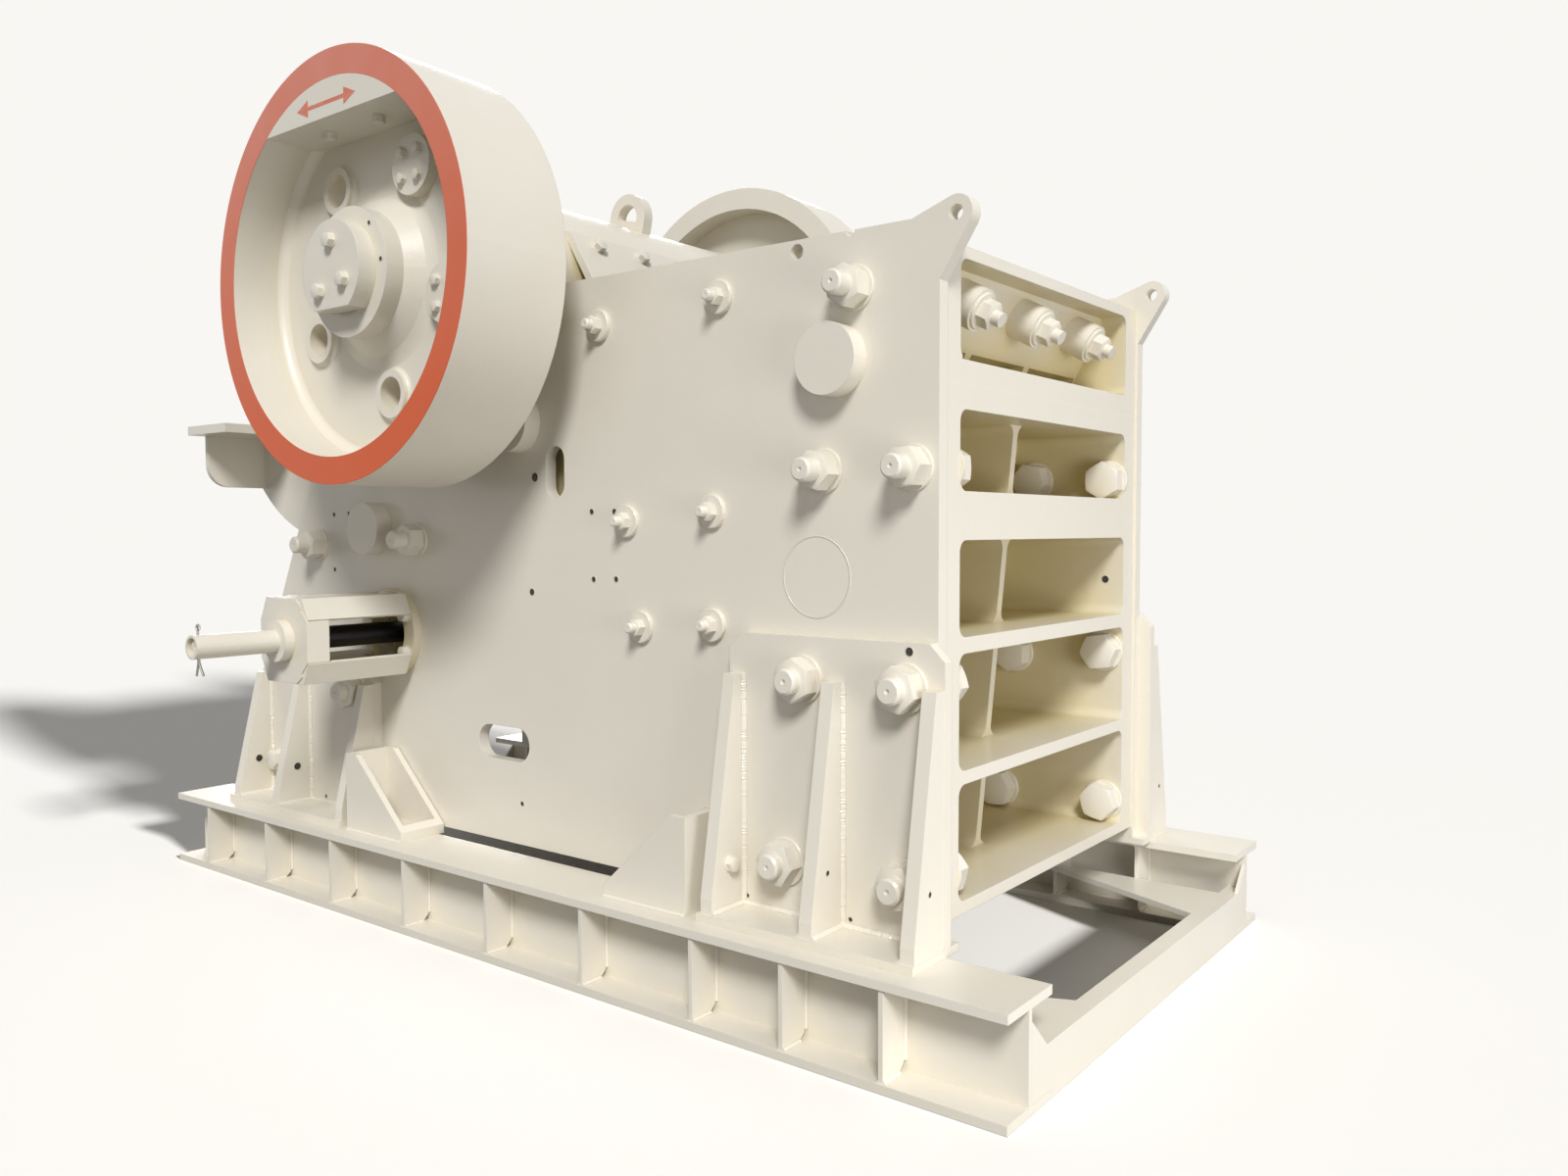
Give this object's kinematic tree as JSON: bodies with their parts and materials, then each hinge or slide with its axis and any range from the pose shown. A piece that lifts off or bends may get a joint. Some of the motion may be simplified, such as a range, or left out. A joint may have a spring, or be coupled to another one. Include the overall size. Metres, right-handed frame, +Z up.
{
  "type": "jaw crusher",
  "caption": "Single-toggle jaw crusher with ribbed front casting, dished flywheels and swinging pitman, on a welded beam skid.",
  "frame": {"origin": "on the ground under the middle of the skid", "axes": "+X towards the feed end, +Y towards the far side plate, +Z up"},
  "size_m": [4.348, 3.304, 3.238],
  "materials": {
    "cream_enamel": "gloss enamel on cast and welded steel",
    "manganese_steel": "as-cast manganese steel",
    "machined_steel": "turned and oiled",
    "grey_iron": "as cast",
    "spring_steel": "hardened and blued"
  },
  "bodies": {
    "frame": {"side_plate_near": "cream_enamel", "side_plate_far": "cream_enamel", "front_frame_end": "cream_enamel", "rear_frame_end": "cream_enamel", "fixed_jaw_die": "manganese_steel", "cheek_plates_upper": "manganese_steel", "cheek_plates_lower": "manganese_steel", "die_clamp_cups": "cream_enamel", "plate_bosses": "cream_enamel", "bearing_housing_near": "cream_enamel", "bearing_housing_far": "cream_enamel", "toggle_plate": "grey_iron", "toggle_beam": "cream_enamel", "adjusting_wedges": "machined_steel", "wedge_adjuster_near": "cream_enamel", "wedge_adjuster_far": "cream_enamel", "adjuster_rods": "machined_steel", "adjuster_tubes": "cream_enamel", "front_foot_near": "cream_enamel", "front_foot_far": "cream_enamel", "rear_foot_near": "cream_enamel", "rear_foot_far": "cream_enamel", "front_stop_boxes": "cream_enamel", "rear_stop_boxes": "cream_enamel", "shelf_bracket_near": "cream_enamel", "shelf_bracket_far": "cream_enamel", "skid_rail_near": "cream_enamel", "skid_rail_far": "cream_enamel", "skid_front_beam": "cream_enamel", "skid_rear_beam": "cream_enamel"},
    "rotor": {"eccentric_shaft": "machined_steel", "flywheel_near": "cream_enamel", "flywheel_far": "cream_enamel", "counterweights": "cream_enamel", "hub_caps": "cream_enamel"},
    "pitman": {"pitman": "cream_enamel", "pitman_guard": "cream_enamel", "lifting_eye": "cream_enamel", "pitman_toggle_seat": "machined_steel", "moving_jaw_die": "manganese_steel", "tension_rod": "machined_steel", "tension_spring": "spring_steel"}
  },
  "joints": [
    {"name": "shaft_spin", "type": "hinge", "parent": "frame", "child": "rotor", "pos_m": [-0.302, 0, 2.482], "axis": [0, 1, 0], "continuous": true},
    {"name": "pitman_orbit", "type": "hinge", "parent": "rotor", "child": "pitman", "pos_m": [-0.302, 0, 2.462], "axis": [0, 1, 0], "continuous": true}
  ],
  "couplings": [
    {"joint": "pitman_orbit", "follows": "shaft_spin", "ratio": -1}
  ]
}
